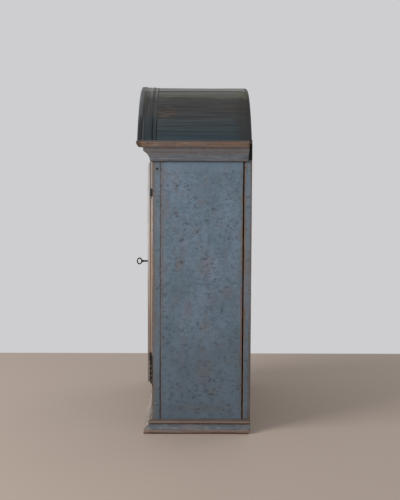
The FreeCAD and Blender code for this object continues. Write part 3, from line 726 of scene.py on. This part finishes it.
def hood_paint(name, flow):
    """Dark paint; flow gives the noise frequencies across and along the grain."""
    material, place = new_finish(name)
    y, z = split(place)[Y:]
    behind = y - arch_face
    streak = mottle(place, flow(120, 4), 5, 0.65)
    line = mottle(place, flow(170, 5), 3, 0.6)
    drawn = mottle(place, flow(45, 2.2), 4, 0.6)
    patch = mottle(place, flow(26, 10), 5, 0.62)
    fleck = mottle(place, flow(260, 110), 2)
    wavy = mottle(place, [150, 30, 150], 3)
    streaked = between(streak, 0.34, 0.66)
    level = frayed(frayed(z, drawn, 0.035), patch, 0.035)
    on_bead = between(behind, 0.021, 0.015)
    dusty = between(level + on_bead * 0.018, hood_top - 0.047, hood_top - 0.023)
    flank = between(level, hood_top - 0.074, hood_top - 0.124)
    springing = between(level, hood_top - 0.131, hood_top - 0.154)
    bare = between(patch, 0.58, 0.7) * between(drawn, 0.46, 0.6) * 0.5
    colour = blend(streaked, dye(40, 40, 42), dye(61, 61, 60))
    colour = blend(flank * 0.9, colour, blend(streaked, dye(33, 45, 50), dye(50, 61, 65)))
    colour = blend(springing * 0.55, colour, dye(34, 51, 62))
    colour = blend(bare, colour, blend(streak, dye(48, 42, 38), dye(76, 65, 56)))
    grain_wood = blend(between(wavy, 0.42, 0.62), dye(44, 40, 38), dye(79, 67, 58))
    colour = blend(smudge(place, patch, *worn_patch) * 0.65, colour, grain_wood)
    dust = blend(between(drawn, 0.4, 0.6), dye(96, 98, 98), dye(84, 84, 72))
    colour = blend(dusty * (0.5 + streak * 0.7), colour, dust)
    rear = between(frayed(y, drawn, 0.04), roof_rear - 0.0435, roof_rear - 0.0035)
    colour = blend(rear * 0.65, colour, blend(dusty, dye(41, 38, 35), dye(84, 83, 66)))
    crown = between(frayed(z, streak, 0.004), hood_top - 0.0154, hood_top - 0.0140)
    colour = blend(crown * 0.75, colour, blend(streaked, dye(112, 112, 110), dye(136, 136, 134)))
    joint = within(frayed(z, drawn, 0.0004), hood_top - 0.0166, hood_top - 0.0144, 0.0004)
    joint = joint * within(y, roof_front + 0.0003, roof_rear, 0.0003)
    colour = blend(joint * 0.75, colour, dye(46, 46, 44))
    colour = blend(between(line, 0.55, 0.66) * 0.5, colour, dye(30, 30, 31))
    colour = blend(between(fleck, 0.69, 0.75) * 0.5, colour, dye(26, 25, 25))
    on_arch = between(behind, 0.060, 0.058)
    colour = blend(on_arch * flank * 0.45, colour, dye(29, 36, 39))
    fillet = within(behind, 0.0466, 0.0550, 0.0006)
    colour = blend(fillet * flank * 0.35, colour, dye(28, 32, 33))
    nose = between(behind, 0.0145, 0.0125)
    colour = blend(nose * 0.5, colour, blend(flank, dye(88, 91, 93), dye(36, 34, 34)))
    # A pale line on the arch's arris low down: wear, and a painted highlight where the arris catches the
    # light.
    arris = within(frayed(behind, streak, 0.0016), 0.0158, 0.0188, 0.0007)
    colour = blend(arris * flank * 0.55, colour, dye(104, 103, 100))
    # Groove colour: painted light high up against the grooves' own shade, painted shade low down.
    groove_light_and_shade = blend(flank, dye(88, 88, 86), dye(20, 21, 22))
    for low, high in arch_grooves:
        colour = blend(within(behind, low, high, 0.0006) * 0.5, colour, groove_light_and_shade)
    roughness = 0.78 + dusty * 0.15
    return coat(material, colour, roughness, streak * 0.6 + line * 0.4 - bare * 0.3, 0.0008)


roof_paint = hood_paint("roof_paint", lambda across, along: spread(Y, across, along))
arch_paint = hood_paint("arch_paint", lambda across, along: [along, across, along])
roof_boards = ["roof_board_%d" % number for number in (1, 2, 3, 4, 5)]
for board in roof_boards:
    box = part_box(board)
    work = copied(board)
    sliced(work, box, Y, 0.012)
    for vert in work.verts:
        outward = (vert.co - roof_centre) * Vector((1, 0, 1))
        dip = 0.0005 * noise.noise(vert.co * 14)
        vert.co += outward.normalized() * min(0.0, dip - 0.0002)
    piece = settled(work, board + "_wood", board, roof_paint, smooth=25)
    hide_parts(board)

for arch in ("arch_moulding", "back_arch"):
    work = copied(arch)
    piece = settled(work, arch + "_wood", arch, arch_paint, smooth=28)
    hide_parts(arch)
timber("tympanum", rail_paint, shut=((Z, LOW),), step=0.02)

# Wall irons, nails and hinges
# Forged iron: two angle straps let into the back, nails through the stiles and pin hinges for the door.
# Black from the fire, brown with old rust where it is handled or damp.

iron, place = new_finish("iron")
forge = mottle(place, [90, 90, 90], 4, 0.6)
scale_marks = mottle(place, [420, 420, 420], 3, 0.6)
rust = between(forge, 0.5, 0.68)
iron_colour = blend(between(scale_marks, 0.35, 0.7), dye(22, 20, 20), dye(38, 35, 33))
iron_colour = blend(rust * 0.45, iron_colour, blend(scale_marks, dye(50, 34, 26), dye(90, 60, 42)))
coat(iron, iron_colour, 0.58 + rust * 0.25, scale_marks * 0.6 + forge * 0.4, 0.0004)
iron.node_tree.nodes["Principled BSDF"].inputs["Metallic"].default_value = 0.35
sharp_angle = math.radians(50)


def forged(node, rounding, finish, beaten=0.00008):
    """Ironwork copied from its node, with its edges hammered round and its faces beaten uneven."""
    work = copied(node)
    sharp = [edge for edge in work.edges if edge.is_manifold and edge.calc_face_angle() > sharp_angle]
    eased(work, sharp, rounding)
    for vert in work.verts:
        vert.co += noise.noise_vector(vert.co * 160) * beaten
    piece = settled(work, node + "_iron", node, finish, smooth=40)
    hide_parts(node)


for strap in ("hanging_iron_left", "hanging_iron_right"):
    forged(strap, 0.0006, iron)

head_height = 0.0012
head_taper = 0.7
head_turn = 2.4


def studs(name, node, spots, facing, radius, material):
    """Low heads, half sunk in the node's face, made as one piece; facing turns their Z to the open side."""
    work = bmesh.new()
    for index, spot in enumerate(spots):
        turned = Matrix.Translation(spot) @ facing @ Matrix.Rotation(index * head_turn, 4, "Z")
        bmesh.ops.create_cone(
            work, cap_ends=True, segments=9, radius1=radius, radius2=head_taper * radius, depth=head_height,
            matrix=turned,
        )
    settled(work, name, node, material)


to_back = Matrix.Rotation(math.radians(-90), 4, "X")
to_front = Matrix.Rotation(math.radians(90), 4, "X")
nail_radius = 0.0035
nail_clearance = 0.002
nail_levels = [middle_of(board)[Z] for board in inner_boards[:-1]]
nail_levels.append(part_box("hanging_iron_right")[HIGH][Z] + nail_radius + nail_clearance)
back_nails = []
for board in back_boards:
    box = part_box(board)
    for share in (0.2, 0.8):
        for level in nail_levels:
            across = box[LOW][X] + share * (box[HIGH][X] - box[LOW][X])
            back_nails.append((across, box[HIGH][Y], level))
studs("back_nails", back_boards[0], back_nails, to_back, nail_radius, iron)

nail_finish, place = new_finish("nail_finish")
rusting = mottle(place, [300, 300, 300], 3)
nail_colour = blend(between(rusting, 0.5, 0.7) * 0.5, dye(92, 102, 110), dye(70, 58, 50))
blackened_from = 0.6
blackened = between(split(place)[Z], blackened_from, blackened_from + 0.05)
nail_colour = blend(blackened, nail_colour, dye(46, 44, 44))
coat(nail_finish, nail_colour, 0.6 + rusting * 0.2, rusting, 0.0004)
forged("stile_nails", 0.0003, nail_finish)

pin_finish, place = new_finish("pin_finish")
flaking = mottle(place, [260, 260, 260], 3)
barrel_face = upper_barrel[LOW][Y]
barrel_foot = upper_barrel[LOW][Z]
depth, level = split(place)[Y:]
footed = between(frayed(level, flaking, 0.002), barrel_foot - 0.001, barrel_foot - 0.0025)
fronted = between(frayed(depth, flaking, 0.001), barrel_face + 0.0033, barrel_face + 0.0023)
old_paint = blend(flaking, dye(104, 109, 114), dye(142, 144, 146))
pin_colour = blend(larger(footed, fronted) * 0.9, dye(34, 31, 30), old_paint)
coat(pin_finish, pin_colour, 0.62 + flaking * 0.2, flaking, 0.0004)
for part in ("pintle_upper", "knuckle_upper"):
    forged(part, 0.0004, pin_finish, beaten=0.0)
for part in ("pintle_lower", "knuckle_lower"):
    forged(part, 0.0004, iron, beaten=0.0)

# Door
# Two stiles and two rails, tenoned together round a fielded panel; the lip laps the frame all round.
# Painted in front, bare behind; the lip's outer edges are worn right down to tan wood, and the upper nosing
# carries a painted highlight.

door_low, door_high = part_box("door_stile_hinge")
door_face = door_low[Y]
lip_reach = door_high[X]
lip_middle = middle_of("door_stile_hinge")[Z]
lip_height = door_high[Z] - lip_middle
lip_fray = 0.009
quirk_front, quirk_back = 0.0084, 0.0104
nosing_front, nosing_back = 0.0040, 0.0068
key_rubs = [(middle_of("escutcheon"), (0.030, 0.020, 0.055))]


def door_finish(name, run, node):
    """Paint in front and bare wood on the node's rear face, with the lip worn to tan wood and a painted
    highlight on its nosing.
    """
    material, place = new_finish(name)
    rear_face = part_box(node)[HIGH][Y]
    paint, paint_roughness, paint_height = milk_paint(place, run, key_rubs)
    pine, _, pine_height = bare_pine(place, run, inside_pale, inside_dark)
    x, y, z = split(place)
    worn_edge = mottle(place, [70, 70, 26], 5, 0.65)
    streak = mottle(place, spread(run, 300, 9), 4)
    side_lip = between(abs(x) + worn_edge * lip_fray, lip_reach, lip_reach + 0.003)
    end_lip = between(abs(z - lip_middle) + worn_edge * lip_fray, lip_height, lip_height + 0.003)
    lip = larger(side_lip, end_lip)
    depth = y - door_face
    level = frayed(z, worn_edge, 0.1)
    high = between(frayed(z, worn_edge, 0.2), 0.6, 0.8)
    low_end = between(frayed(z, worn_edge, 0.06), 0.25, 0.22)
    lip_wood = blend(streak, dye(140, 110, 86), dye(216, 192, 170))
    lip_wood = blend(high * 0.75, lip_wood, dye(148, 143, 142))
    behind = between(depth, quirk_back + 0.0003, quirk_back + 0.0013) * between(z, 0.28, 0.4)
    lip_wood = blend(behind * 0.45, lip_wood, blend(high, dye(212, 194, 178), dye(204, 197, 194)))
    lip_wood = blend(low_end * 0.6, lip_wood, dye(146, 132, 123))
    fore = between(depth, quirk_front, quirk_front - 0.001) * between(level, 0.40, 0.32)
    lip_wood = blend(fore * 0.55, lip_wood, dye(108, 86, 72))
    # The nosing: worn wood, with a painted highlight high up where it catches the light, and darker low
    # down.
    nosing_highlight_and_wood = blend(between(level, 0.34, 0.64), dye(111, 94, 86), dye(174, 170, 168))
    nosing_highlight_and_wood = blend(low_end, nosing_highlight_and_wood, dye(93, 83, 77))
    lip_wood = blend(between(depth, nosing_back, nosing_front) * 0.85, lip_wood, nosing_highlight_and_wood)
    quirk = within(depth, quirk_front, quirk_back, 0.0004) * between(worn_edge, 0.3, 0.45)
    lip_wood = blend(quirk * 0.8, lip_wood, dye(60, 47, 39))
    share = between(y, rear_face - 0.0005, rear_face - 0.002)
    colour = blend(share, pine, blend(lip * 0.92, paint, lip_wood))
    height = pine_height + share * (paint_height - pine_height)
    return coat(material, colour, paint_roughness, height, 0.0006)


door_upright = door_finish("door_upright_paint", Z, "door_stile_hinge")
door_across = door_finish("door_across_paint", X, "door_rail_top")
panel_paint = door_finish("panel_paint", Z, "door_panel")
timber("door_stile_hinge", door_upright, shut=((X, LOW),), arris=0.001)
timber("door_stile_lock", door_upright, shut=((X, HIGH),), arris=0.001)
for rail in ("door_rail_top", "door_rail_bottom"):
    timber(rail, door_across, shut=((X, LOW), (X, HIGH)), arris=0.001)
panel_seats = ((X, LOW), (X, HIGH), (Z, LOW), (Z, HIGH))
timber("door_panel", panel_paint, shut=panel_seats, arris=0.0008)

peg_radius = 0.004
peg_spacing = 0.034
peg_reach = (door_low[X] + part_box("door_rail_top")[HIGH][X]) / 2
door_pegs = []
for across in (-peg_reach, peg_reach):
    for rail in ("door_rail_bottom", "door_rail_top"):
        for step in (-0.5, 0.5):
            door_pegs.append((across, door_face, middle_of(rail)[Z] + step * peg_spacing))
peg_wood, place = new_finish("peg_wood")
coat(peg_wood, *bare_pine(place, Y, dye(120, 110, 102), dye(84, 80, 80)), 0.0004)
studs("door_pegs", "door_stile_hinge", door_pegs, to_front, peg_radius, peg_wood)

# Lock and key
# An iron rim lock on the back of the door, an oval plate round the keyhole and a key with a ring bow.
# All forged; the key throws the bolt into a mortise in the left stile.

for part in ("escutcheon", "lock_case", "lock_cover", "lock_bolt", "key"):
    forged(part, 0.0004, iron)

# Drawer
# A painted front on nailed pine sides, sliding on two runners under the door.
# Bare inside, with an iron eye through the front that carries the ring pull.

drawer_wood, place = new_finish("drawer_wood")
coat(drawer_wood, *bare_pine(place, Y, dye(172, 138, 102), dye(126, 92, 62)), 0.0005)
for runner in ("runner_left", "runner_right", "drawer_side_left", "drawer_side_right"):
    timber(runner, drawer_wood, arris=0.0008, nick=0.0008, step=0.02)
for board in ("drawer_back", "drawer_bottom"):
    timber(board, inner_wood, arris=0.0006, nick=0.0006, step=0.02)

drawer_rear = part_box("drawer_front")[HIGH][Y]


def drawer_outside(place):
    """1 on the drawer front's face and edges, 0 towards its back."""
    return between(split(place)[Y], drawer_rear - 0.003, drawer_rear - 0.005)


ring_rubs = [(middle_of("ring_eye"), (0.055, 0.060, 0.030))]
drawer_paint = painted_outside("drawer_paint", X, drawer_outside, ring_rubs)
timber("drawer_front", drawer_paint, arris=0.0018, nick=0.002)
for part in ("ring_eye", "drawer_ring"):
    forged(part, 0.0004, iron)

# Room
# A plain pale floor that ends where the room's wall would stand, and even light from all round.
# The background is plain grey-white.

floor_size = 9.0
floor_drop = 0.0005
wall_line = -0.69
floor_colour = dye(158, 143, 132)
wall_colour = dye(206, 206, 208)
work = bmesh.new()
bmesh.ops.create_grid(work, x_segments=1, y_segments=1, size=floor_size / 2)
bmesh.ops.translate(work, verts=work.verts, vec=(wall_line + floor_size / 2, 0, -floor_drop))
floor_mesh = bpy.data.meshes.new("floor")
work.to_mesh(floor_mesh)
work.free()
floor = bpy.data.objects.new("floor", floor_mesh)
bpy.context.scene.collection.objects.link(floor)
floor_finish, place = new_finish("floor_finish")
floor_shader = floor_finish.node_tree.nodes["Principled BSDF"]
floor_shader.inputs["Base Color"].default_value = floor_colour
floor_shader.inputs["Roughness"].default_value = 0.7
floor_mesh.materials.append(floor_finish)

world = bpy.data.worlds.new("room_light")
bpy.context.scene.world = world
world.use_nodes = True
sky = world.node_tree
light_path = sky.nodes.new("ShaderNodeLightPath")
seen = Tint(light_path.outputs["Is Camera Ray"])
for ray in ("Is Glossy Ray", "Is Transmission Ray"):
    seen = seen + Tint(light_path.outputs[ray])
seen = smaller(seen, 1.0)
room_level = 0.6
backdrop = blend(seen, [room_level, room_level, room_level, 1.0], wall_colour)
background = sky.nodes["Background"]
sky.links.new(backdrop.socket, background.inputs["Color"])


def lamp(name, spot, aim, size, power):
    """A square lamp that looks from its spot at its aim."""
    data = bpy.data.lights.new(name, "AREA")
    data.shape = "SQUARE"
    data.size = size
    data.energy = power
    made = bpy.data.objects.new(name, data)
    bpy.context.scene.collection.objects.link(made)
    made.location = spot
    made.rotation_euler = (Vector(aim) - Vector(spot)).to_track_quat("-Z", "Y").to_euler()


lamp("window_light", (1.5, -2.9, 2.1), (0.1, 0.0, 0.7), 1.8, 125.0)
lamp("back_light", (-1.9, 2.7, 2.0), (0.0, 0.1, 0.6), 2.2, 25.0)

# Camera
# It looks square at the right side from a little above the middle, as the photograph does.

focal_pixels = 970.89
frame_pixels = 500
axis_row = 196.43
camera_place = Vector((3.192, -0.0228, 0.9807))
yaw = math.radians(0.3397)
pitch = math.radians(-5.0097)
roll = math.radians(0.2415)
forward = Vector((-math.cos(pitch) * math.cos(yaw), math.cos(pitch) * math.sin(yaw), math.sin(pitch)))
level_right = forward.cross(Vector((0, 0, 1))).normalized()
level_up = level_right.cross(forward)
right = math.cos(roll) * level_right + math.sin(roll) * level_up
up = -math.sin(roll) * level_right + math.cos(roll) * level_up
camera_data = bpy.data.cameras.new("camera")
sensor = 36.0
camera_data.sensor_width = sensor
camera_data.lens = focal_pixels / frame_pixels * sensor
camera_data.shift_y = (axis_row - frame_pixels / 2) / frame_pixels
camera = bpy.data.objects.new("camera", camera_data)
bpy.context.scene.collection.objects.link(camera)
camera.matrix_world = Matrix.Translation(camera_place) @ Matrix((right, up, -forward)).transposed().to_4x4()
bpy.context.scene.camera = camera
bpy.context.scene.view_settings.view_transform = "Standard"
